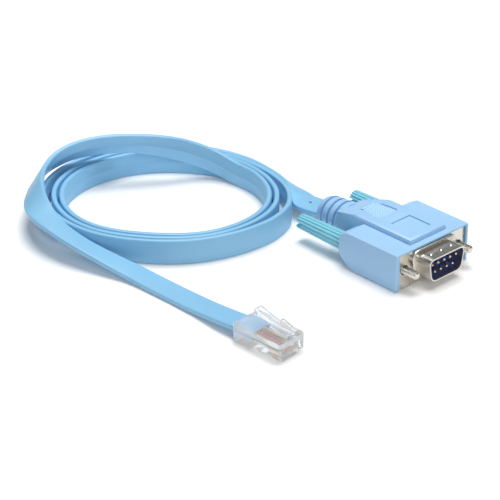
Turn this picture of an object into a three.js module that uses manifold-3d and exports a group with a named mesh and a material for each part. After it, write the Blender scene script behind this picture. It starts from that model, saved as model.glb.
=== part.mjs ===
// RJ45 console cable: a nine-pin D-sub plug on a light blue flat cable that ends in a clear RJ45 plug.
// Millimetres, +Z up. The D-sub head stands on z = 0 with its middle over the origin, its pins point
// along +X and its row of pins lies along Y. Behind it the cable lies coiled on edge in three turns.

import * as THREE from 'three';
import { mergeVertices } from 'three/addons/utils/BufferGeometryUtils.js';
import Module from 'manifold-3d';

const wasm = await Module();
wasm.setup();

// Shared clearances
const fit = 0.3;
const past = 1.0;

// Hood of the head, one overmoulding. Reaches are measured back from its front face
const headLength = 54.0;
const rimReach = 5.9;
const frontX = headLength / 2 - rimReach;
const hoodWidth = 33.8;
const hoodHeight = 13.2;
const hoodBack = { top: 22.4, middle: 25.8, belly: 23.9, bottom: 19.0 };
const hoodBackFace = { belly: 2.6, low: 4.6, high: 11.2 };
const hoodEdge = 0.8;

// Raised neck along the hood, from the ridge over the shell to the strain relief
const neckFront = 2.4;
const neckBack = 37.0;
const neckTaper = 26.0;
const neckWidth = { front: 16.8, back: 12.4 };
const neckTop = { front: 14.9, back: 11.6 };
const neckFoot = { front: 0.6, back: 1.6 };
const neckEdge = 1.1;

// Recesses in the top of the neck
const recessDepth = 0.45;
const gripPanel = { back: 30.0, front: 19.6, backWidth: 7.0, frontWidth: 9.4, corner: 1.4 };
const labelPanel = { back: 14.8, front: 5.4, width: 9.0, corner: 0.6 };

// Strain relief, an oval dome with three slots
const reliefAxisZ = 6.5;
const reliefBack = headLength - rimReach;
const reliefRadius = { front: 6.3, back: 5.4, end: 3.4 };
const reliefFlatness = 0.92;
const reliefRound = 2.6;
const slotReaches = [38.9, 41.9, 44.9];
const slotWidth = 0.9;
const slotDepth = 1.1;

// D-sub shell: flange, raised collar and D-shaped rim
const shellAxisZ = 6.5;
const flange = { width: 30.4, foot: 0.35, top: 12.35, front: 0.7, thickness: 0.8, corner: 1.0 };
const shellSize = { width: 16.9, height: 8.35, corner: 2.4 };
const shellSlant = THREE.MathUtils.degToRad(10);
const shellWall = 0.5;
const collar = { side: 2.3, upward: 1.6, reach: 1.3, edge: 0.5 };
const insulatorReach = 0.2;
const pocketDepth = 2.2;

// Contacts of the head: five over four, all along X
const pinRadius = 0.5;
const pinReach = 5.0;
const pinPitch = 2.77;
const pinRowGap = 2.84;
const pinRows = [5, 4];

// Thumbscrews
const screwSpacing = 25.0;
const screwAxisZ = 6.6;
const screwRadius = 1.4;
const screwReach = 4.9;
const screwOverlap = 7.0;
const screwBore = screwRadius + fit;
const knob = { front: 24.9, back: 46.9, frontRadius: 3.15, backRadius: 2.6, tipRound: 0.4 };
const knobSlot = { width: 1.3, depth: 1.6 };
const knobSocket = knob.frontRadius + fit;

// Flat cable
const cableWidth = 8.6;
const cableThickness = 1.7;
const cableCorner = 0.5;
const cableLift = 0.05;

// Coil: three turns on edge, with its radii at equal steps of the way in, one row for each turn
const coilCentre = { x: -69.2, y: -33.1 };
const coilRadii = [
  37.2, 38.8, 41.6, 38.1, 34.6, 36.6, 41.5, 36.5,
  34.2, 35.7, 37.8, 35.9, 32.3, 34.5, 37.15, 34.55,
  32.2, 33.1, 35.1, 33.6, 30.0, 32.4, 34.5, 32.8,
];
const coilStation = 45;
const coilStart = 127;
const coilEnd = 75 + 3 * 360;
const coilStep = 7.5;
const coilSeam = 0.5;

// Free stretches of the cable: x, y, z of the middle and how far the upper edge leans inward, in degrees
const tailRoute = [
  [-27.3, 0.0, 5.6, 90],
  [-32.5, 0.0, 5.2, 97],
  [-37.0, 0.3, 4.9, 96],
  [-40.5, 2.8, 4.7, 76],
  [-43.5, 4.4, 4.6, 64],
  [-47.5, 5.8, 4.5, 54],
  [-53.0, 6.7, 4.4, 42],
  [-60.0, 7.4, 4.4, 38],
  [-68.0, 7.2, 4.4, 32],
  [-76.0, 5.5, 4.4, 26],
  [-83.5, 2.0, 4.4, 16],
];
const leadRoute = [
  [-69.5, -1.1, 4.6, 0],
  [-77.2, -3.1, 6.6, 0],
  [-83.6, -8.5, 9.8, 4],
  [-88.8, -16.0, 12.9, 13],
  [-95.2, -24.6, 14.6, 21],
  [-101.5, -34.0, 15.0, 23],
  [-105.6, -43.2, 14.3, 26],
  [-106.2, -51.9, 12.9, 27],
  [-103.3, -59.6, 11.6, 30],
  [-97.9, -66.1, 10.9, 40],
  [-90.8, -71.6, 10.3, 58],
  [-83.0, -75.0, 9.7, 84],
  [-74.2, -76.4, 8.6, 99],
  [-63.8, -75.2, 6.3, 101],
  [-53.5, -72.5, 3.8, 97],
  [-43.5, -69.9, 1.8, 92],
  [-27.9, -68.8, 1.1, 90],
  [-11.7, -68.5, 1.6, 90],
  [-0.4, -68.8, 2.9, 90],
  [6.6, -68.5, 3.4, 90],
];
const tailSteps = 24;
const leadSteps = 78;

// RJ45 plug: its back face stands at plugBack, lengths run forward from there
const plugBack = { x: 6.9, y: -68.5 };
const plugTurn = THREE.MathUtils.degToRad(2.8);
const plugLength = 19.0;
const plugWidth = 11.2;
const plugTop = 6.6;
const plugStep = { length: 6.8, foot: 0.9 };
const plugChamfer = 0.8;
const plugNose = 0.4;
const plugEdge = 0.4;
const jacket = { axisZ: 3.4, length: 7.0, width: 8.4, thickness: 1.6 };
const wire = { count: 8, pitch: 1.02, radius: 0.36, front: 18.0 };
const blade = { back: 13.6, thickness: 0.3, foot: 0.5, top: 2.7, slot: 0.7, frontInset: 0.5 };
const latchPad = { width: 6.2, length: 1.5, height: 0.35 };
const latch = { root: 18.5, tail: 5.0, rise: 3.7, bar: 0.95, wide: 6.2, narrow: 3.2, wideLength: 6.0 };
const latchFoot = plugTop + latchPad.height + fit;

// Colours and finishes
function finish(colour, roughness, metalness = 0) {
  return new THREE.MeshStandardMaterial({ color: colour, roughness, metalness });
}
const finishes = {
  hood: finish('#a2cdf3', 0.55),
  cable: finish('#8cc8ef', 0.5),
  knob: finish('#7ec6dc', 0.5),
  nickel: finish('#c8c3b9', 0.28, 1),
  gold: finish('#d9b36a', 0.25, 1),
  insulator: finish('#101f52', 0.45),
  clear: finish('#e9edf2', 0.1),
};
const wireColours = ['#3f9a55', '#d98a54', '#c8504b', '#8c2f33', '#d7a13c', '#e8e4dc', '#7c6aa8', '#9aa0a6'];

const model = new THREE.Group();
model.name = 'rj45_console_cable';

function addPiece(name, shape, material, group = model) {
  const geometry = shape.isBufferGeometry ? shape : toGeometry(shape);
  const mesh = new THREE.Mesh(geometry, material);
  mesh.name = name;
  group.add(mesh);
  return mesh;
}

function toSolid(geometry) {
  const bare = geometry.clone();
  bare.deleteAttribute('normal');
  bare.deleteAttribute('uv');
  const merged = mergeVertices(bare, 1e-4);
  return new wasm.Manifold(new wasm.Mesh({
    numProp: 3,
    vertProperties: new Float32Array(merged.attributes.position.array),
    triVerts: new Uint32Array(merged.index.array),
  }));
}

function toGeometry(solid) {
  const mesh = solid.getMesh();
  const geometry = new THREE.BufferGeometry();
  geometry.setAttribute('position', new THREE.BufferAttribute(new Float32Array(mesh.vertProperties), 3));
  geometry.setIndex(new THREE.BufferAttribute(new Uint32Array(mesh.triVerts), 1));
  geometry.computeVertexNormals();
  return geometry;
}

// Extrudes a (y, z) outline forward from x = start, or an (x, z) outline across from y = start
const acrossX = new THREE.Matrix4().makeBasis(
  new THREE.Vector3(0, 1, 0), new THREE.Vector3(0, 0, 1), new THREE.Vector3(1, 0, 0));
const acrossY = new THREE.Matrix4().makeBasis(
  new THREE.Vector3(1, 0, 0), new THREE.Vector3(0, 0, 1), new THREE.Vector3(0, -1, 0));

function extrudeDepth(shape, depth, edge, curveSegments = 5) {
  const bevel = edge > 0
    ? { bevelEnabled: true, bevelSize: edge, bevelThickness: edge, bevelOffset: -edge, bevelSegments: 2 }
    : { bevelEnabled: false };
  const geometry = new THREE.ExtrudeGeometry(shape, { depth: depth - 2 * edge, curveSegments, ...bevel });
  return geometry.translate(0, 0, edge);
}

function alongX(shape, start, end, edge = 0) {
  return extrudeDepth(shape, end - start, edge).applyMatrix4(acrossX).translate(start, 0, 0);
}

function alongY(shape, width, edge = 0) {
  return extrudeDepth(shape, width, edge).applyMatrix4(acrossY).translate(0, width / 2, 0);
}

function polygon(points) {
  return new THREE.Shape(points.map(([x, y]) => new THREE.Vector2(x, y)));
}

// Closed outline with every corner rounded
function rounded(points, radius) {
  const corners = points.map(([x, y]) => new THREE.Vector2(x, y));
  const shape = new THREE.Shape();
  corners.forEach((corner, index) => {
    const before = corners[(index + corners.length - 1) % corners.length];
    const after = corners[(index + 1) % corners.length];
    const enter = corner.clone().add(before.clone().sub(corner).setLength(radius));
    const leave = corner.clone().add(after.clone().sub(corner).setLength(radius));
    if (index === 0) shape.moveTo(enter.x, enter.y);
    else shape.lineTo(enter.x, enter.y);
    shape.quadraticCurveTo(corner.x, corner.y, leave.x, leave.y);
  });
  shape.closePath();
  return shape;
}

function box(width, depth, height, x, y, z) {
  return new THREE.BoxGeometry(width, depth, height).translate(x, y, z);
}

// Round bar or turned piece about an axis along X
function turned(profile, segments) {
  const points = profile.map(([radius, x]) => new THREE.Vector2(radius, x));
  return new THREE.LatheGeometry(points, segments).rotateZ(-Math.PI / 2);
}

function bar(radius, start, end, segments) {
  return turned([[0, start], [radius, start], [radius, end], [0, end]], segments);
}

// D outline with its wide side up, drawn in (y, z) and grown sideways and upward
function dOutline(grow, upward = grow) {
  const halfHeight = shellSize.height / 2 + upward;
  const halfTop = shellSize.width / 2 + grow;
  const halfFoot = halfTop - 2 * halfHeight * Math.tan(shellSlant);
  return rounded([
    [-halfFoot, shellAxisZ - halfHeight],
    [halfFoot, shellAxisZ - halfHeight],
    [halfTop, shellAxisZ + halfHeight],
    [-halfTop, shellAxisZ + halfHeight],
  ], shellSize.corner + 0.6 * grow);
}

function hoodBody() {
  return toSolid(alongY(polygon([
    [frontX, 0],
    [frontX, hoodHeight],
    [frontX - hoodBack.top, hoodHeight],
    [frontX - hoodBack.middle, hoodBackFace.high],
    [frontX - hoodBack.middle, hoodBackFace.low],
    [frontX - hoodBack.belly, hoodBackFace.belly],
    [frontX - hoodBack.bottom, 0],
  ].reverse()), hoodWidth, hoodEdge));
}

function neckBody() {
  const halfFront = neckWidth.front / 2;
  const halfBack = neckWidth.back / 2;
  const plan = polygon([
    [frontX - neckFront, -halfFront],
    [frontX - neckFront, halfFront],
    [frontX - neckTaper, halfFront],
    [frontX - neckBack, halfBack],
    [frontX - neckBack, -halfBack],
    [frontX - neckTaper, -halfFront],
  ]);
  const side = polygon([
    [frontX - neckFront, neckFoot.front],
    [frontX - neckFront, neckTop.front],
    [frontX - neckTaper, neckTop.front],
    [frontX - neckBack, neckTop.back],
    [frontX - neckBack, neckFoot.back],
    [frontX - neckTaper, neckFoot.front],
  ].reverse());
  const upright = toSolid(extrudeDepth(plan, neckTop.front, neckEdge));
  return upright.intersect(toSolid(alongY(side, neckWidth.front + 2 * neckEdge)));
}

function strainRelief() {
  const end = frontX - reliefBack;
  const start = frontX - neckBack - past;
  const slotEdges = [...slotReaches].reverse().flatMap((reach) => {
    const x = frontX - reach;
    const share = (x - end) / (start + 2 * past - end);
    const radius = THREE.MathUtils.lerp(reliefRadius.back, reliefRadius.front, share);
    const half = slotWidth / 2;
    return [[radius, x - half], [radius - slotDepth, x - half], [radius - slotDepth, x + half], [radius, x + half]];
  });
  const dome = [0, 0.5, 1].map((turn) => {
    const angle = turn * Math.PI / 2;
    return [
      reliefRadius.end + (reliefRadius.back - reliefRadius.end) * Math.sin(angle),
      end + reliefRound * (1 - Math.cos(angle)),
    ];
  });
  const front = start + 2 * past;
  const profile = [[0, end], ...dome, ...slotEdges, [reliefRadius.front, front], [0, front]];
  return toSolid(turned(profile, 40).scale(1, 1, reliefFlatness).translate(0, 0, reliefAxisZ));
}

function topPanel(panel, backWidth, frontWidth) {
  const outline = rounded([
    [frontX - panel.back, -backWidth / 2],
    [frontX - panel.front, -frontWidth / 2],
    [frontX - panel.front, frontWidth / 2],
    [frontX - panel.back, backWidth / 2],
  ], panel.corner);
  return toSolid(extrudeDepth(outline, past + recessDepth, 0).translate(0, 0, neckTop.front - recessDepth));
}

function frontPocket() {
  const half = flange.width / 2 + fit;
  const outline = polygon([
    [-half, flange.foot - fit - past],
    [half, flange.foot - fit - past],
    [half, flange.top + fit],
    [-half, flange.top + fit],
  ]);
  return toSolid(alongX(outline, frontX - pocketDepth, frontX + past));
}

function screwTunnel(side) {
  const y = side * screwSpacing / 2;
  const tunnel = bar(screwBore, frontX - hoodBack.middle - past, frontX + past, 20);
  const socket = bar(knobSocket, frontX - hoodBack.middle - past, frontX - knob.front + fit, 28);
  return [tunnel, socket].map((hole) => toSolid(hole.translate(0, y, screwAxisZ)));
}

function makeHood() {
  let hood = hoodBody().add(neckBody()).add(strainRelief());
  hood = hood.subtract(topPanel(gripPanel, gripPanel.backWidth, gripPanel.frontWidth));
  hood = hood.subtract(topPanel(labelPanel, labelPanel.width, labelPanel.width));
  hood = hood.subtract(frontPocket());
  [-1, 1].flatMap(screwTunnel).forEach((hole) => { hood = hood.subtract(hole); });
  addPiece('connector_hood', hood, finishes.hood);
}

function makeShell() {
  const half = flange.width / 2;
  const plateOutline = rounded([
    [-half, flange.foot], [half, flange.foot], [half, flange.top], [-half, flange.top],
  ], flange.corner);
  const plateBack = frontX - flange.front - flange.thickness;
  const plate = toSolid(alongX(plateOutline, plateBack, frontX - flange.front));
  const collarOutline = dOutline(collar.side, collar.upward);
  const bead = toSolid(alongX(collarOutline, plateBack, frontX - flange.front + collar.reach, collar.edge));
  const rim = toSolid(alongX(dOutline(0), plateBack, frontX + rimReach));
  let shell = plate.add(bead).add(rim);
  shell = shell.subtract(toSolid(alongX(dOutline(-shellWall), plateBack - past, frontX + rimReach + past)));
  [-1, 1].forEach((side) => {
    const hole = bar(screwBore, plateBack - past, frontX + past, 20);
    shell = shell.subtract(toSolid(hole.translate(0, side * screwSpacing / 2, screwAxisZ)));
  });
  addPiece('dsub_shell', shell, finishes.nickel);
}

// Places of the nine contacts, wide row first
function pinPlaces() {
  return pinRows.flatMap((count, row) => {
    const z = shellAxisZ + (0.5 - row) * pinRowGap;
    return Array.from({ length: count }, (_, index) => [(index - (count - 1) / 2) * pinPitch, z]);
  });
}

function makeContacts() {
  const back = frontX - flange.front - flange.thickness;
  let block = toSolid(alongX(dOutline(-shellWall - fit), back, frontX + insulatorReach));
  pinPlaces().forEach(([y, z], index) => {
    const hole = bar(pinRadius + fit, back - past, frontX + insulatorReach + past, 12);
    block = block.subtract(toSolid(hole.translate(0, y, z)));
    const tip = frontX + pinReach;
    const pin = turned([[0, back], [pinRadius, back], [pinRadius, tip - 0.4], [0.25, tip], [0, tip]], 12);
    addPiece(`contact_pin_${index + 1}`, pin.translate(0, y, z), finishes.gold);
  });
  addPiece('dsub_insulator', block, finishes.insulator);
}

function makeThumbscrew(name, side) {
  const y = side * screwSpacing / 2;
  const front = frontX - knob.front;
  const back = frontX - knob.back;
  const grip = turned([
    [0, back],
    [knob.backRadius - knob.tipRound, back],
    [knob.backRadius, back + knob.tipRound],
    [knob.frontRadius, front],
    [0, front],
  ], 32);
  const slot = box(2 * knobSlot.depth, 4 * knob.backRadius, knobSlot.width, back, 0, 0);
  const socket = bar(screwBore, front - screwOverlap - fit, front + past, 20);
  const handle = toSolid(grip).subtract(toSolid(slot)).subtract(toSolid(socket));
  addPiece(`${name}_grip`, handle.translate([0, y, screwAxisZ]), finishes.knob);
  const tip = frontX + screwReach;
  const shaft = turned([
    [0, front - screwOverlap],
    [screwRadius, front - screwOverlap],
    [screwRadius, tip - 0.4],
    [screwRadius - 0.4, tip],
    [0, tip],
  ], 20);
  addPiece(`${name}_screw`, shaft.translate(0, y, screwAxisZ), finishes.nickel);
}

// Radius of the coil, where degrees counts on through its turns: a smooth curve through the list
function coilRadius(degrees) {
  const ends = [2 * coilRadii[0] - coilRadii[1], 2 * coilRadii.at(-1) - coilRadii.at(-2)];
  const place = (degrees - coilStart) / coilStation;
  const first = THREE.MathUtils.clamp(Math.floor(place), 0, coilRadii.length - 2);
  const share = place - first;
  const [a, b, c, d] = [ends[0], ...coilRadii, ends[1]].slice(first, first + 4);
  return b + 0.5 * share * (c - a + share * (2 * a - 5 * b + 4 * c - d + share * (3 * (b - c) + d - a)));
}

// Point of the coil; sideways moves it out or in
function coilPoint(degrees, sideways = 0) {
  const radius = coilRadius(degrees) + sideways;
  const angle = THREE.MathUtils.degToRad(degrees);
  return new THREE.Vector2(coilCentre.x + radius * Math.cos(angle), coilCentre.y + radius * Math.sin(angle));
}

// One whole turn of the coil as a closed outline, with the step where the turns begin
function turnOutline(from, sideways) {
  const count = Math.round(360 / coilStep);
  return Array.from({ length: count + 1 }, (_, index) => coilPoint(from + index * coilStep, sideways));
}

function makeCoil() {
  const outline = new THREE.Shape(turnOutline(coilStart, cableThickness / 2));
  outline.holes.push(new THREE.Path(turnOutline(coilEnd - 360, -cableThickness / 2)));
  const ring = new THREE.ExtrudeGeometry(outline, { depth: cableWidth, bevelEnabled: false });
  addPiece('cable_coil', ring.translate(0, 0, cableLift), finishes.cable);
}

// Route of a flat cable that knows how far its upper edge leans toward the left of the route
class RibbonRoute extends THREE.CatmullRomCurve3 {
  constructor(stations) {
    super(stations.map(([x, y, z]) => new THREE.Vector3(x, y, z)));
    this.leans = stations.map((station) => THREE.MathUtils.degToRad(station[3]));
  }

  leanAt(share) {
    const place = this.getUtoTmapping(share) * (this.leans.length - 1);
    const first = Math.min(Math.floor(place), this.leans.length - 2);
    return THREE.MathUtils.lerp(this.leans[first], this.leans[first + 1], place - first);
  }

  computeFrenetFrames(steps) {
    const frames = { tangents: [], normals: [], binormals: [] };
    for (let step = 0; step <= steps; step += 1) {
      const tangent = this.getTangentAt(step / steps);
      const left = new THREE.Vector3(0, 0, 1).cross(tangent).normalize();
      const upper = tangent.clone().cross(left);
      const lean = this.leanAt(step / steps);
      const width = upper.multiplyScalar(Math.cos(lean)).addScaledVector(left, Math.sin(lean));
      frames.tangents.push(tangent);
      frames.binormals.push(width);
      frames.normals.push(width.clone().cross(tangent));
    }
    return frames;
  }
}

function ribbonSection() {
  const half = { x: cableThickness / 2, y: cableWidth / 2 };
  return polygon([
    [-half.x, -half.y + cableCorner], [-half.x + cableCorner, -half.y],
    [half.x - cableCorner, -half.y], [half.x, -half.y + cableCorner],
    [half.x, half.y - cableCorner], [half.x - cableCorner, half.y],
    [-half.x + cableCorner, half.y], [-half.x, half.y - cableCorner],
  ]);
}

function makeFreeCable() {
  const middle = cableLift + cableWidth / 2;
  const join = (degrees) => [...coilPoint(degrees).toArray(), middle, 0];
  const stretches = [
    ['cable_tail', [...tailRoute, join(coilStart - coilSeam)], tailSteps],
    ['cable_lead', [join(coilEnd + coilSeam), ...leadRoute], leadSteps],
  ];
  stretches.forEach(([name, stations, steps]) => {
    const ribbon = new THREE.ExtrudeGeometry(ribbonSection(), {
      steps, extrudePath: new RibbonRoute(stations), bevelEnabled: false,
    });
    addPiece(name, ribbon, finishes.cable);
  });
}

// The plug's own frame starts at the middle of its back face, on the surface it lies on
const plug = new THREE.Group();
plug.position.set(plugBack.x, plugBack.y, 0);
plug.rotation.z = plugTurn;
model.add(plug);

function wirePlaces() {
  return Array.from({ length: wire.count }, (_, index) => (index - (wire.count - 1) / 2) * wire.pitch);
}

function makePlugBody() {
  const side = polygon([
    [0, plugChamfer],
    [plugChamfer, 0],
    [plugStep.length, 0],
    [plugStep.length + plugStep.foot, plugStep.foot],
    [plugLength, plugStep.foot],
    [plugLength, plugTop - plugNose],
    [plugLength - plugNose, plugTop],
    [0, plugTop],
  ]);
  let body = toSolid(alongY(side, plugWidth, plugEdge));
  const padMiddle = latch.root - latchPad.length / 2;
  body = body.add(toSolid(box(latchPad.length, latchPad.width, 2 * latchPad.height, padMiddle, 0, plugTop)));
  const throat = box(2 * (jacket.length + fit), jacket.width + 2 * fit, jacket.thickness + 2 * fit,
    0, 0, jacket.axisZ);
  const channelWidth = wire.pitch * (wire.count - 1) + 2 * (wire.radius + fit);
  const channelFront = wire.front + fit;
  const channel = box(channelFront, channelWidth, 2 * (wire.radius + fit), channelFront / 2, 0, jacket.axisZ);
  body = body.subtract(toSolid(throat)).subtract(toSolid(channel));
  wirePlaces().forEach((y) => {
    const length = plugLength - blade.back + fit + past;
    const top = blade.top + fit;
    const slot = box(length, blade.slot, top + past, blade.back - fit + length / 2, y, (top - past) / 2);
    body = body.subtract(toSolid(slot));
  });
  addPiece('plug_body', body, finishes.clear, plug);
}

function makePlugInside() {
  const { length, width, thickness, axisZ } = jacket;
  const sleeve = rounded([
    [-width / 2, axisZ - thickness / 2], [width / 2, axisZ - thickness / 2],
    [width / 2, axisZ + thickness / 2], [-width / 2, axisZ + thickness / 2],
  ], 0.5);
  addPiece('plug_jacket', alongX(sleeve, 0, length), finishes.cable, plug);
  wirePlaces().forEach((y, index) => {
    const core = bar(wire.radius, length + fit, wire.front, 10).translate(0, y, axisZ);
    addPiece(`plug_wire_${index + 1}`, core, finish(wireColours[index], 0.5), plug);
    const front = plugLength - blade.frontInset;
    const foot = plugStep.foot + blade.foot;
    const contact = polygon([
      [blade.back, foot + 0.6], [blade.back + 0.6, foot], [front - 0.9, foot],
      [front, foot + 0.9], [front, blade.top], [blade.back, blade.top],
    ]);
    addPiece(`plug_contact_${index + 1}`, alongY(contact, blade.thickness).translate(0, y, 0), finishes.gold, plug);
  });
}

function makeLatch() {
  const run = latch.root - latch.tail;
  const length = Math.hypot(latch.rise, run);
  const lever = (start, end, width) => box(end - start, width, latch.bar, -(start + end) / 2, 0, 0);
  const wide = toSolid(lever(0, latch.wideLength, latch.wide));
  const narrow = toSolid(lever(latch.wideLength - past, length, latch.narrow));
  const arm = toGeometry(wide.add(narrow));
  arm.rotateY(Math.atan2(latch.rise, run)).translate(latch.root, 0, latchFoot + latch.bar / 2);
  addPiece('plug_latch', arm, finishes.clear, plug);
}

makeHood();
makeShell();
makeContacts();
makeThumbscrew('thumbscrew_left', 1);
makeThumbscrew('thumbscrew_right', -1);
makeCoil();
makeFreeCable();
makePlugBody();
makePlugInside();
makeLatch();

export default model;
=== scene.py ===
"""Looks of the RJ45 console cable: a D-sub head, a coiled flat cable and a clear modular plug.

Lengths of the object's parts are in millimetres and are turned into metres where a mesh is made.
"""

import logging
import math
from dataclasses import dataclass
from enum import Enum
from typing import Iterable, Optional, Sequence

import bmesh
import bpy
from mathutils import Matrix, Vector


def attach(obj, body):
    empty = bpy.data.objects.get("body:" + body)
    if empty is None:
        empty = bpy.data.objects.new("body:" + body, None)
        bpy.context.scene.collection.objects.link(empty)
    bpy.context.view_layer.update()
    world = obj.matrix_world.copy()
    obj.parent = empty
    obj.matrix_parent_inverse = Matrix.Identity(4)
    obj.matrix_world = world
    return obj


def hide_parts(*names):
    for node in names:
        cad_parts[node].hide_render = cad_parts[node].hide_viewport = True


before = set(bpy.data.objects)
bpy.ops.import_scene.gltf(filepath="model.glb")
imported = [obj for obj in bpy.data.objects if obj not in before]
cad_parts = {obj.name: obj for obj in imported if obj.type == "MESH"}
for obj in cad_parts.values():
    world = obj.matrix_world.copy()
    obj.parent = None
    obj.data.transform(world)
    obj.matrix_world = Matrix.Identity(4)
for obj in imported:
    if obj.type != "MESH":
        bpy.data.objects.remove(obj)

MM = 0.001
log = logging.getLogger("console_cable")


class Body(Enum):
    """Packed bodies that pieces ride on."""

    BASE = "base"
    LEFT = "thumbscrew_left"
    RIGHT = "thumbscrew_right"
    LATCH = "latch"


class Value:
    """A shader number whose operators add Math nodes."""

    def __init__(self, nodes: "Nodes", socket: bpy.types.NodeSocket) -> None:
        """Keeps the socket and the tree it stands in."""
        self.nodes = nodes
        self.socket = socket

    def _math(self, operation: str, *terms: object) -> "Value":
        """Adds one Math node.

        Args:
            operation: Name of the Math node's operation.
            terms: Its inputs, numbers or values, in order.
        Returns:
            The node's result.
        """
        return self.nodes.add("ShaderNodeMath", {"operation": operation}, dict(enumerate(terms)))

    def __add__(self, other: object) -> "Value":
        """Sum."""
        return self._math("ADD", self, other)

    __radd__ = __add__

    def __mul__(self, other: object) -> "Value":
        """Product."""
        return self._math("MULTIPLY", self, other)


class Nodes:
    """Node tree of one material."""

    def __init__(self, name: str) -> None:
        """Makes the material and finds its Principled shader."""
        self.material = bpy.data.materials.new(name)
        self.material.use_nodes = True
        self.tree = self.material.node_tree
        self.shader = self.tree.nodes["Principled BSDF"]

    def add(self, kind: str, settings: dict, inputs: dict, output: object = 0) -> Value:
        """Adds a node.

        Args:
            kind: Node type.
            settings: Properties set before the sockets are used.
            inputs: Values or links, by socket name or number.
            output: Socket name or number of the result.
        Returns:
            The result socket, wrapped.
        """
        node = self.tree.nodes.new(kind)
        for key, setting in settings.items():
            setattr(node, key, setting)
        for key, given in inputs.items():
            self.feed(node.inputs[key], given)
        return Value(self, node.outputs[output])

    def feed(self, socket: bpy.types.NodeSocket, given: object) -> None:
        """Links or sets one socket."""
        if isinstance(given, Value):
            self.tree.links.new(given.socket, socket)
        else:
            socket.default_value = given

    def place(self, stretch: Sequence[float] = (1, 1, 1)) -> Value:
        """Object coordinates, stretched.

        Args:
            stretch: Factor along each axis.
        Returns:
            The coordinates.
        """
        spot = self.add("ShaderNodeTexCoord", {}, {}, "Object")
        return self.add("ShaderNodeMapping", {}, {"Vector": spot, "Scale": tuple(stretch)})

    def noise(self, scale: float, detail: float = 3.0, stretch: Sequence[float] = (1, 1, 1)) -> Value:
        """Noise over the object.

        Args:
            scale: Cells in a metre.
            detail: Octaves.
            stretch: Factor along each axis.
        Returns:
            The noise, 0 to 1.
        """
        inputs = {"Vector": self.place(stretch), "Scale": scale, "Detail": detail}
        return self.add("ShaderNodeTexNoise", {}, inputs, "Fac")

    def mix(self, share: object, low: Sequence[float], high: Sequence[float]) -> Value:
        """Mixes two colours.

        Args:
            share: Part of the second colour.
            low: First colour.
            high: Second colour.
        Returns:
            The mixed colour.
        """
        inputs = {0: share, 6: (*low, 1.0), 7: (*high, 1.0)}
        return self.add("ShaderNodeMix", {"data_type": "RGBA"}, inputs, 2)

    def bump(self, height: Value, strength: float, distance: float) -> None:
        """Feeds a height to the shader's normal."""
        inputs = {"Height": height, "Strength": strength, "Distance": distance}
        self.feed(self.shader.inputs["Normal"], self.add("ShaderNodeBump", {}, inputs))

    def set(self, **sockets: object) -> None:
        """Sets or links shader sockets; underscores in the names stand for spaces."""
        for name, given in sockets.items():
            self.feed(self.shader.inputs[name.replace("_", " ")], given)


def linear(code: str) -> tuple[float, float, float]:
    """Turns a #rrggbb colour into linear light."""
    parts = [int(code[i:i + 2], 16) / 255 for i in (1, 3, 5)]
    return tuple(p / 12.92 if p <= 0.04045 else ((p + 0.055) / 1.055) ** 2.4 for p in parts)


@dataclass(frozen=True)
class Moulded:
    """Satin moulded plastic with fine grain and slight cloudiness."""

    name: str
    colour: str
    shade: str
    roughness: float = 0.45
    grain: float = 2600.0
    relief: float = 0.12
    soft: float = 0.12

    def build(self) -> bpy.types.Material:
        """Makes the material."""
        nodes = Nodes(self.name)
        cloud = nodes.noise(70.0)
        grain = nodes.noise(self.grain, 2.0)
        nodes.set(
            Base_Color=nodes.mix(cloud, linear(self.shade), linear(self.colour)),
            Roughness=self.roughness - 0.06 + cloud * 0.12,
            Subsurface_Weight=self.soft,
            Subsurface_Radius=(0.002, 0.003, 0.004),
            Subsurface_Scale=0.6,
        )
        nodes.bump(grain, self.relief, 0.00005)
        return nodes.material


@dataclass(frozen=True)
class Plated:
    """Plated metal with drawing marks along X and slight tarnish."""

    name: str
    colour: str
    shade: str
    roughness: float = 0.22

    def build(self) -> bpy.types.Material:
        """Makes the material."""
        nodes = Nodes(self.name)
        marks = nodes.noise(900.0, 3.0, (0.15, 1.0, 1.0))
        cloud = nodes.noise(160.0)
        nodes.set(
            Base_Color=nodes.mix(cloud, linear(self.shade), linear(self.colour)),
            Metallic=1.0,
            Roughness=self.roughness - 0.05 + marks * 0.14,
        )
        nodes.bump(marks, 0.06, 0.00005)
        return nodes.material


@dataclass(frozen=True)
class Clear:
    """Clear moulded plastic with faint flow marks and a faint painted glow that lightens it where it lies in
    shade.
    """

    name: str
    tint: str
    roughness: float = 0.03
    clearness: float = 0.86
    bending: float = 1.2
    painted_glow: float = 0.06

    def build(self) -> bpy.types.Material:
        """Makes the material."""
        nodes = Nodes(self.name)
        flow = nodes.noise(120.0, 2.0, (0.4, 1.0, 1.0))
        nodes.set(
            Base_Color=nodes.mix(flow, linear(self.tint), (1.0, 1.0, 1.0)),
            Roughness=self.roughness + flow * 0.03,
            Transmission_Weight=self.clearness,
            IOR=self.bending,
            Coat_Weight=0.7,
            # Painted light: a faint white emission that brightens the plastic, and what is seen through it,
            # where it lies in shade.
            Emission_Color=(1.0, 0.97, 0.96, 1.0),
            Emission_Strength=self.painted_glow,
        )
        nodes.bump(flow, 0.05, 0.0002)
        return nodes.material


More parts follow.
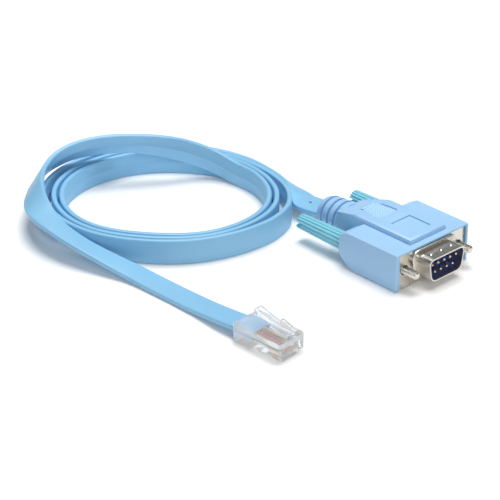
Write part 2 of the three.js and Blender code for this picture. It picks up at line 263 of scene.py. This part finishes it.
class Finishes:
    """All finishes of the object, made once."""

    def __init__(self) -> None:
        """Builds every material."""
        self.hood = Moulded("hood_vinyl", "#a9d3f7", "#9fcbf2", 0.42, 2200.0, 0.2).build()
        self.cable = Moulded("cable_vinyl", "#93cbee", "#89c3e8", 0.4, 1800.0, 0.1).build()
        self.grip = Moulded("grip_plastic", "#93d8ea", "#84cde2", 0.42, 2400.0, 0.15).build()
        self.insulator = Moulded("navy_insulator", "#2f5fd6", "#2a54c0", 0.35, 2400.0, 0.1, 0.0).build()
        self.dot = Moulded("dot_shade", "#44566b", "#364658", 0.5, 2200.0, 0.1, 0.0).build()
        self.nickel = Plated("bright_nickel", "#e2ded6", "#d2ccc1", 0.27).build()
        self.gold = Plated("thin_gold", "#ecd7b4", "#dfc197", 0.22).build()
        self.clear = Clear("clear_plastic", "#e9f0f5").build()
        wires = ("#2f9a58", "#e08a4e", "#cc4b48", "#8f2c34", "#d9a136", "#e9e5dd", "#7b68ad", "#9096a0")
        self.wires = [Moulded(f"wire_{index + 1}", colour, colour, 0.4, 3000.0, 0.05, 0.0).build()
                      for index, colour in enumerate(wires)]


def piece(name: str, mesh: bmesh.types.BMesh, finish: bpy.types.Material, body: Body,
          replaces: Iterable[str] = (), smooth: float = 35.0) -> bpy.types.Object:
    """Turns a bmesh in metres into a finished piece.

    Args:
        name: Name of the piece.
        mesh: Its shape, which is freed.
        finish: Its material.
        body: Body that it rides on.
        replaces: CAD nodes that it stands for.
        smooth: Edges sharper than this many degrees stay sharp.
    Returns:
        The object.
    """
    data = bpy.data.meshes.new(name)
    mesh.to_mesh(data)
    mesh.free()
    data.materials.append(finish)
    data.shade_smooth()
    data.set_sharp_from_angle(angle=math.radians(smooth))
    made = bpy.data.objects.new(name, data)
    bpy.context.scene.collection.objects.link(made)
    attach(made, body.value)
    if replaces:
        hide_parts(*replaces)
    log.info("%s: %d faces, rides on %s", name, len(data.polygons), body.value)
    return made


def dress(node: str, finish: bpy.types.Material) -> bpy.types.Object:
    """Gives a carried-over CAD node its finish.

    Args:
        node: Name of the node.
        finish: Its material.
    Returns:
        The node's object.
    """
    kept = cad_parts[node]
    kept.data.materials.clear()
    kept.data.materials.append(finish)
    log.info("%s: kept from the CAD", node)
    return kept


def merged_copy(node: str) -> bmesh.types.BMesh:
    """Copies a CAD node's mesh with its loose triangles merged and flat areas joined.

    Args:
        node: Name of the node.
    Returns:
        The copy.
    """
    mesh = bmesh.new()
    mesh.from_mesh(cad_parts[node].data)
    bmesh.ops.remove_doubles(mesh, verts=mesh.verts, dist=1e-6)
    bmesh.ops.dissolve_limit(mesh, angle_limit=math.radians(0.6), verts=mesh.verts, edges=mesh.edges)
    return mesh


def soften(made: bpy.types.Object, width: float, segments: int = 3, angle: float = 32.0) -> None:
    """Rounds the edges of a piece.

    Args:
        made: The piece.
        width: Width of the rounding in millimetres.
        segments: Steps of the rounding.
        angle: Edges flatter than this stay as they are.
    """
    rounding = made.modifiers.new("rounding", "BEVEL")
    rounding.width = width * MM
    rounding.segments = segments
    rounding.limit_method = "ANGLE"
    rounding.angle_limit = math.radians(angle)
    rounding.miter_outer = "MITER_ARC"


def carve(made: bpy.types.Object, cutter: bmesh.types.BMesh, smooth: float = 28.0) -> None:
    """Cuts a shape out of a piece for good.

    Args:
        made: The piece.
        cutter: The shape, which is freed.
        smooth: Edges sharper than this many degrees stay sharp.
    """
    data = bpy.data.meshes.new("cutter")
    cutter.to_mesh(data)
    cutter.free()
    tool = bpy.data.objects.new("cutter", data)
    bpy.context.scene.collection.objects.link(tool)
    cut = made.modifiers.new("cut", "BOOLEAN")
    cut.operation = "DIFFERENCE"
    cut.object = tool
    bpy.context.view_layer.update()
    seen = made.evaluated_get(bpy.context.evaluated_depsgraph_get())
    made.modifiers.remove(cut)
    made.data = bpy.data.meshes.new_from_object(seen)
    made.data.shade_smooth()
    made.data.set_sharp_from_angle(angle=math.radians(smooth))
    bpy.data.objects.remove(tool)


def along_x(mesh: bmesh.types.BMesh, radius: float, start: float, end: float, y: float, z: float,
            segments: int = 48, far_radius: Optional[float] = None) -> list:
    """Adds a round bar along X, in millimetres.

    Args:
        mesh: Mesh that gets the bar.
        radius: Radius at the start.
        start: Where it starts along X.
        end: Where it ends along X.
        y: Place of its axis.
        z: Place of its axis.
        segments: Sides.
        far_radius: Radius at the end, the same if left out.
    Returns:
        The new vertices.
    """
    turn = Matrix.Translation(Vector(((start + end) / 2, y, z)) * MM) @ Matrix.Rotation(math.pi / 2, 4, "Y")
    made = bmesh.ops.create_cone(
        mesh, cap_ends=True, segments=segments, radius1=radius * MM,
        radius2=(radius if far_radius is None else far_radius) * MM, depth=(end - start) * MM, matrix=turn)
    return made["verts"]


class Studio:
    """Camera, floor and light."""

    target = Vector((-0.0316, -0.0302, 0.0))
    distance = 0.700
    azimuth = math.radians(46.58)
    elevation = math.radians(28.28)
    lens = 154.5
    floor_shades = ((0.93, 0.93, 0.93), (0.95, 0.95, 0.95))
    floor_glow = 0.07
    surround = 0.13

    def build(self) -> None:
        """Makes the whole set."""
        self.camera()
        self.floor()
        self.lights()

    def camera(self) -> None:
        """Places the camera where the photograph was taken from."""
        data = bpy.data.cameras.new("camera")
        data.lens = self.lens
        data.sensor_width = 36.0
        data.clip_start = 0.01
        data.clip_end = 50.0
        made = bpy.data.objects.new("camera", data)
        back = Vector((
            math.sin(self.azimuth) * math.cos(self.elevation),
            -math.cos(self.azimuth) * math.cos(self.elevation),
            math.sin(self.elevation)))
        made.rotation_mode = "QUATERNION"
        made.rotation_quaternion = (-back).to_track_quat("-Z", "Y")
        made.location = self.target + back * self.distance
        bpy.context.scene.collection.objects.link(made)
        bpy.context.scene.camera = made

    def floor(self) -> None:
        """Lays a plain pale floor."""
        mesh = bmesh.new()
        bmesh.ops.create_grid(mesh, x_segments=1, y_segments=1, size=6.0)
        data = bpy.data.meshes.new("floor")
        mesh.to_mesh(data)
        mesh.free()
        nodes = Nodes("pale_floor")
        cloud = nodes.noise(3.0)
        nodes.set(Base_Color=nodes.mix(cloud, *self.floor_shades), Roughness=0.8)
        nodes.set(Specular_IOR_Level=0.0)
        nodes.set(Emission_Color=(1.0, 1.0, 1.0, 1.0), Emission_Strength=self.floor_glow)
        data.materials.append(nodes.material)
        made = bpy.data.objects.new("floor", data)
        bpy.context.scene.collection.objects.link(made)

    def lights(self) -> None:
        """Hangs a wide soft lamp above, a fill at the camera's side, and sets a white surround."""
        places = (
            ("above", (-0.16, 0.2, 1.25), 0.9, 16.5),
            ("front", (0.95, -0.5, 0.7), 0.7, 3.6),
        )
        for name, place, size, power in places:
            data = bpy.data.lights.new(name, "AREA")
            data.shape = "DISK"
            data.size = size
            data.energy = power
            made = bpy.data.objects.new(name, data)
            made.location = place
            made.rotation_mode = "QUATERNION"
            made.rotation_quaternion = (self.target - Vector(place)).to_track_quat("-Z", "Y")
            bpy.context.scene.collection.objects.link(made)
        world = bpy.data.worlds.new("surround")
        world.use_nodes = True
        sky = world.node_tree.nodes["Background"]
        sky.inputs["Color"].default_value = (1.0, 1.0, 1.0, 1.0)
        sky.inputs["Strength"].default_value = self.surround
        bpy.context.scene.world = world
        bpy.context.scene.view_settings.view_transform = "Standard"


@dataclass
class FlatCable:
    """The flat cable on one route: tail, three turns on edge, and the lead to the plug.

    The length alone is in metres.
    """

    width: float = 8.6
    thickness: float = 1.7
    corner: float = 0.55
    lift: float = 0.05
    ridge: float = 0.2
    ridge_foot: float = 0.35
    ridge_crest: float = 0.12
    step: float = 1.3
    length: float = 0.92
    dot_place: tuple[float, float, float] = (-34.1, 0.1, 5.93)
    dot_half: tuple[float, float, float] = (0.7, 0.42, 0.1)
    centre: tuple[float, float] = (-69.2, -33.1)
    start: float = 127.0
    end: float = 75.0 + 3 * 360.0
    station: float = 45.0
    radii: tuple[float, ...] = (
        37.2, 38.8, 41.6, 38.1, 34.6, 36.6, 41.5, 36.5,
        34.2, 35.7, 37.8, 35.9, 32.3, 34.5, 37.15, 34.55,
        32.2, 33.1, 35.1, 33.6, 30.0, 32.4, 34.5, 32.8,
    )
    tail: tuple[tuple[float, float, float, float], ...] = (
        (-26.7, 0.0, 5.6, 90), (-32.5, 0.0, 5.2, 97), (-37.0, 0.3, 4.9, 96), (-40.5, 2.8, 4.7, 76),
        (-43.5, 4.4, 4.6, 64), (-47.5, 5.8, 4.5, 54), (-53.0, 6.7, 4.4, 42), (-60.0, 7.4, 4.4, 38),
        (-68.0, 7.2, 4.4, 32), (-76.0, 5.5, 4.4, 26), (-83.5, 2.0, 4.4, 16),
    )
    lead: tuple[tuple[float, float, float, float], ...] = (
        (-69.5, -1.1, 4.6, 0), (-77.2, -3.1, 6.6, 0), (-83.6, -8.5, 9.8, 4), (-88.8, -16.0, 12.9, 13),
        (-95.2, -24.6, 14.6, 21), (-101.5, -34.0, 15.0, 23), (-105.6, -43.2, 14.3, 26),
        (-106.2, -51.9, 12.9, 27), (-103.3, -59.6, 11.6, 30), (-97.9, -66.1, 10.9, 40),
        (-90.8, -71.6, 10.3, 58), (-83.0, -75.0, 9.7, 84), (-74.2, -76.4, 8.6, 99),
        (-63.8, -75.2, 6.3, 101), (-53.5, -72.5, 3.8, 97), (-43.5, -69.9, 1.8, 92),
        (-27.9, -68.8, 1.1, 90), (-11.7, -68.5, 1.6, 90), (-0.4, -68.8, 2.9, 90),
        (6.6, -68.5, 3.4, 90), (13.9, -68.15, 3.4, 90),
    )

    def radius(self, degrees: float) -> float:
        """Radius of the coil where degrees counts on through its turns."""
        ends = (2 * self.radii[0] - self.radii[1], 2 * self.radii[-1] - self.radii[-2])
        place = (degrees - self.start) / self.station
        first = min(max(math.floor(place), 0), len(self.radii) - 2)
        share = place - first
        a, b, c, d = (ends[0], *self.radii, ends[1])[first:first + 4]
        return b + 0.5 * share * (c - a + share * (2 * a - 5 * b + 4 * c - d + share * (3 * (b - c) + d - a)))

    def stations(self) -> list[tuple[float, float, float, float]]:
        """All stations of the route: x, y, z and lean of the upper edge."""
        count = round((self.end - self.start) / 15)
        middle = self.lift + self.width / 2
        turns = []
        for index in range(count + 1):
            degrees = self.start + (self.end - self.start) * index / count
            angle = math.radians(degrees)
            radius = self.radius(degrees)
            turns.append((self.centre[0] + radius * math.cos(angle),
                          self.centre[1] + radius * math.sin(angle), middle, 0.0))
        return [*self.tail, *turns, *self.lead]

    def route(self) -> list[tuple[Vector, float]]:
        """Points about a step apart on a smooth curve through the stations.

        Returns:
            Pairs of a point and its lean in radians.
        """
        rows = self.stations()
        spots = [Vector(row[:3]) for row in rows]
        spots = [2 * spots[0] - spots[1], *spots, 2 * spots[-1] - spots[-2]]
        line = []
        for index in range(len(rows) - 1):
            a, b, c, d = spots[index:index + 4]
            before, span, after = (math.sqrt((q - p).length) for p, q in ((a, b), (b, c), (c, d)))
            leave = ((b - a) / before - (c - a) / (before + span) + (c - b) / span) * span
            enter = ((c - b) / span - (d - b) / (span + after) + (d - c) / after) * span
            count = max(2, round((c - b).length / self.step))
            for part in range(count + (index == len(rows) - 2)):
                t = part / count
                point = (b * (2 * t ** 3 - 3 * t ** 2 + 1) + leave * (t ** 3 - 2 * t ** 2 + t)
                         + c * (3 * t ** 2 - 2 * t ** 3) + enter * (t ** 3 - t ** 2))
                lean = rows[index][3] + (rows[index + 1][3] - rows[index][3]) * t
                line.append((point, math.radians(lean)))
        return line

    def section(self) -> list[tuple[float, float]]:
        """Outline of the cable: distance along its normal and along its width."""
        half = Vector((self.thickness / 2, self.width / 2))
        points = []
        for sx, sy, first in ((1, 1, 0), (-1, 1, 90), (-1, -1, 180), (1, -1, 270)):
            for turn in (0, 30, 60, 90):
                angle = math.radians(first + turn)
                points.append((sx * (half.x - self.corner) + self.corner * math.cos(angle),
                               sy * (half.y - self.corner) + self.corner * math.sin(angle)))
        top = half.x + self.ridge
        bump = ((half.x, -self.ridge_foot), (top, -self.ridge_crest), (top, self.ridge_crest),
                (half.x, self.ridge_foot))
        return [*points, *bump]

    def build(self, finish: bpy.types.Material) -> tuple[bpy.types.Object, list[list[float]]]:
        """Sweeps the section along the route.

        Args:
            finish: The cable's material.
        Returns:
            The piece and the points of its middle, in metres.
        """
        line = self.route()
        outline = self.section()
        mesh = bmesh.new()
        rings = []
        for index, (point, lean) in enumerate(line):
            before = line[max(index - 1, 0)][0]
            after = line[min(index + 1, len(line) - 1)][0]
            tangent = (after - before).normalized()
            left = Vector((0, 0, 1)).cross(tangent).normalized()
            upper = tangent.cross(left)
            across = upper * math.cos(lean) + left * math.sin(lean)
            normal = across.cross(tangent)
            rings.append([mesh.verts.new((point + normal * n + across * w) * MM) for n, w in outline])
        for first, second in zip(rings, rings[1:]):
            for index in range(len(outline)):
                ahead = (index + 1) % len(outline)
                mesh.faces.new((first[index], first[ahead], second[ahead], second[index]))
        mesh.faces.new(rings[0])
        mesh.faces.new(rings[-1])
        bmesh.ops.recalc_face_normals(mesh, faces=mesh.faces)
        made = piece("flat_cable", mesh, finish, Body.BASE,
                     ("cable_tail", "cable_coil", "cable_lead", "plug_jacket"), 50.0)
        return made, [list(point * MM) for point, _ in line]

    def dot(self, finish: bpy.types.Material) -> bpy.types.Object:
        """Sets the small dark dot into the top of the tail, just behind the head.

        Args:
            finish: The dot's material.
        Returns:
            The piece.
        """
        mesh = bmesh.new()
        spot = Matrix.Translation(Vector(self.dot_place) * MM) @ Matrix.Diagonal((*self.dot_half, 1.0))
        bmesh.ops.create_uvsphere(mesh, u_segments=24, v_segments=12, radius=MM, matrix=spot)
        return piece("cable_dot", mesh, finish, Body.BASE)


@dataclass
class Head:
    """The D-sub head: hood, shell, insulator, pins and thumbscrews."""

    front: float = 21.1
    axis_z: float = 6.5
    screw_z: float = 6.6
    screw_y: float = 12.5
    screw_radius: float = 1.4
    screw_tip: float = 26.0
    thread_pitch: float = 0.62
    knob_front: float = -3.8
    knob_back: float = -25.8
    knob_radii: tuple[float, float] = (3.15, 2.6)
    knob_ribs: int = 16
    knob_groove: float = 0.32
    knob_edge: float = 0.15
    knob_slot: tuple[float, float, float] = (3.4, 12, 1.3)
    thread_depth: float = 0.22
    screw_point: float = 0.35
    shell_half: float = 4.175
    dimple_pitch: float = 4.6
    dimple_reach: float = 3.2
    dimple_rise: float = 0.55
    dimple_radius: float = 0.85
    pin_radius: float = 0.5
    pin_tip: float = 26.1
    pin_root: float = 1.4
    pin_shoulder: float = 0.4
    pin_pitch: float = 2.77
    pin_row_gap: float = 2.84
    panel: tuple[float, float, float, float] = (-8.6, 1.2, 3.3, 4.45)
    panel_floor: float = 14.45
    grid_cells: tuple[int, int] = (16, 14)
    grid_margin: float = 0.3
    grid_side: float = 0.35
    grid_rise: float = 0.3
    grid_lift: float = 0.02

    def build(self, finishes: Finishes) -> None:
        """Makes every piece of the head."""
        self.hood(finishes)
        self.shell(finishes)
        self.pins(finishes)
        for body, side in ((Body.LEFT, 1), (Body.RIGHT, -1)):
            self.thumbscrew(finishes, body, side)

    def hood(self, finishes: Finishes) -> None:
        """Dresses the overmoulded hood and lays the grid in its grip panel."""
        made = piece("hood", merged_copy("connector_hood"), finishes.hood, Body.BASE,
                     ("connector_hood",), 28.0)
        soften(made, 0.4, 3)
        mesh = bmesh.new()
        back, front, back_half, front_half = self.panel
        columns, rows = self.grid_cells
        bmesh.ops.create_grid(mesh, x_segments=columns, y_segments=rows, size=0.5)
        for vert in mesh.verts:
            share = vert.co.x + 0.5
            column, row = round(share * columns), round((vert.co.y + 0.5) * rows)
            half = (back_half + (front_half - back_half) * share) - self.grid_side
            inside = 0 < column < columns and 0 < row < rows
            raised = self.grid_rise if inside and column % 2 and row % 2 else 0.0
            along = back + self.grid_margin + (front - back - 2 * self.grid_margin) * share
            vert.co = Vector((along, 2 * half * vert.co.y, self.panel_floor + self.grid_lift + raised)) * MM
        piece("grip_grid", mesh, finishes.hood, Body.BASE, (), 20.0)

    def shell(self, finishes: Finishes) -> None:
        """Rounds the plated shell, presses its dimples and dresses the insulator."""
        made = piece("shell", merged_copy("dsub_shell"), finishes.nickel, Body.BASE,
                     ("dsub_shell",), 28.0)
        for y in (-self.dimple_pitch, 0.0, self.dimple_pitch):
            dent = bmesh.new()
            spot = Matrix.Translation(Vector((self.front + self.dimple_reach, y,
                                              self.axis_z + self.shell_half + self.dimple_rise)) * MM)
            bmesh.ops.create_uvsphere(dent, u_segments=20, v_segments=12, radius=self.dimple_radius * MM,
                                      matrix=spot)
            carve(made, dent)
        soften(made, 0.1, 2)
        dress("dsub_insulator", finishes.insulator)

    def pins(self, finishes: Finishes) -> None:
        """Turns the nine contacts with round tips."""
        mesh = bmesh.new()
        for row, count in enumerate((5, 4)):
            z = self.axis_z + (0.5 - row) * self.pin_row_gap
            for index in range(count):
                y = (index - (count - 1) / 2) * self.pin_pitch
                along_x(mesh, self.pin_radius, self.front - self.pin_root, self.pin_tip - self.pin_shoulder,
                        y, z, 20)
                spot = Matrix.Translation(Vector((self.pin_tip - self.pin_radius, y, z)) * MM)
                bmesh.ops.create_uvsphere(mesh, u_segments=20, v_segments=10, radius=self.pin_radius * MM,
                                          matrix=spot)
        names = [f"contact_pin_{index + 1}" for index in range(9)]
        piece("contact_pins", mesh, finishes.gold, Body.BASE, names)

    def thumbscrew(self, finishes: Finishes, body: Body, side: int) -> None:
        """Makes one ribbed grip and its threaded screw.

        Args:
            finishes: All finishes.
            body: Body that it rides on.
            side: 1 for the far screw, -1 for the near one.
        """
        y = side * self.screw_y
        mesh = bmesh.new()
        verts = along_x(mesh, self.knob_radii[1], self.knob_back, self.knob_front, y, self.screw_z,
                        4 * self.knob_ribs, self.knob_radii[0])
        axis = Vector((0, y, self.screw_z)) * MM
        for vert in verts:
            spoke = Vector((0, vert.co.y - axis.y, vert.co.z - axis.z))
            place = round(math.atan2(spoke.z, spoke.y) / (2 * math.pi) * self.knob_ribs * 4 + 0.25)
            if place % 4 > 1:
                vert.co -= spoke.normalized() * self.knob_groove * MM
        caps = [face for face in mesh.faces if len(face.verts) > 4]
        bmesh.ops.inset_region(mesh, faces=caps, thickness=self.knob_edge * MM, depth=self.knob_edge * MM)
        made = piece(f"{body.value}_handle", mesh, finishes.grip, body, (f"{body.value}_grip",), 60.0)
        cutter = bmesh.new()
        spot = Matrix.Translation(Vector((self.knob_back, y, self.screw_z)) * MM)
        slot = Matrix.Diagonal((*(size * MM for size in self.knob_slot), 1.0))
        bmesh.ops.create_cube(cutter, size=1.0, matrix=spot @ slot)
        carve(made, cutter)
        rod = bmesh.new()
        core = self.screw_radius - self.thread_depth
        shoulder = self.screw_tip - self.screw_point
        along_x(rod, core, self.knob_front - 5.0, shoulder, y, self.screw_z)
        along_x(rod, core, shoulder, self.screw_tip, y, self.screw_z, 48, self.screw_radius - 0.6)
        self.thread(rod, y)
        piece(f"{body.value}_rod", rod, finishes.nickel, body, (f"{body.value}_screw",), 40.0)

    def thread(self, rod: bmesh.types.BMesh, y: float) -> None:
        """Winds the thread round the exposed end of a screw."""
        start, end = self.front - 1.0, self.screw_tip - 0.5
        turns = round((end - start) / self.thread_pitch)
        low, high = self.screw_radius - 0.3, self.screw_radius
        half = self.thread_pitch * 0.42
        corners = ((start - half, low), (start, high), (start + half, low))
        verts = [rod.verts.new(Vector((x, y, self.screw_z + radius)) * MM) for x, radius in corners]
        edges = [rod.edges.new((verts[index], verts[(index + 1) % 3])) for index in range(3)]
        steps = 20 * turns
        bmesh.ops.spin(
            rod, geom=[*verts, *edges], cent=Vector((0, y, self.screw_z)) * MM, axis=(1, 0, 0),
            dvec=(turns * self.thread_pitch / steps * MM, 0, 0), angle=2 * math.pi * turns, steps=steps)
        bmesh.ops.holes_fill(rod, edges=[edge for edge in rod.edges if edge.is_boundary])
        bmesh.ops.recalc_face_normals(rod, faces=rod.faces)


@dataclass
class ModularPlug:
    """The clear plug on the cable's far end."""

    back: tuple[float, float] = (6.9, -68.5)
    turn: float = 2.8
    wire_pitch: float = 1.02
    wire_radius: float = 0.4
    wire_z: float = 3.4
    wire_back: float = 6.8
    wire_front: float = 18.0

    def build(self, finishes: Finishes) -> list:
        """Makes the plug's pieces.

        Args:
            finishes: All finishes.
        Returns:
            The pieces, and the names of the kept nodes.
        """
        body = piece("plug_shell", merged_copy("plug_body"), finishes.clear, Body.BASE,
                     ("plug_body",), 28.0)
        soften(body, 0.12, 2)
        lever = piece("plug_lever", merged_copy("plug_latch"), finishes.clear, Body.LATCH,
                      ("plug_latch",), 28.0)
        soften(lever, 0.22, 3)
        kept = [dress(f"plug_contact_{index + 1}", finishes.gold) for index in range(8)]
        return [body, lever, *self.wires(finishes), *kept]

    def wires(self, finishes: Finishes) -> list[bpy.types.Object]:
        """Lays the eight wires in the plug."""
        turned = Matrix.Rotation(math.radians(self.turn), 4, "Z")
        place = Matrix.Translation(Vector((*self.back, 0)) * MM) @ turned
        made = []
        for index in range(8):
            mesh = bmesh.new()
            y = (index - 3.5) * self.wire_pitch
            along_x(mesh, self.wire_radius, self.wire_back, self.wire_front, y, self.wire_z, 20)
            bmesh.ops.transform(mesh, matrix=place, verts=mesh.verts)
            made.append(piece(f"wire_{index + 1}", mesh, finishes.wires[index], Body.BASE,
                              (f"plug_wire_{index + 1}",)))
        return made


def main() -> None:
    """Builds the scene in order."""
    logging.basicConfig(level=logging.INFO, format="%(message)s")
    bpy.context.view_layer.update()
    Studio().build()
    finishes = Finishes()
    cable = FlatCable()
    ribbon, line = cable.build(finishes.cable)
    Head().build(finishes)
    on_cord = [cable.dot(finishes.dot), *ModularPlug().build(finishes)]


if __name__ == "__main__":
    main()
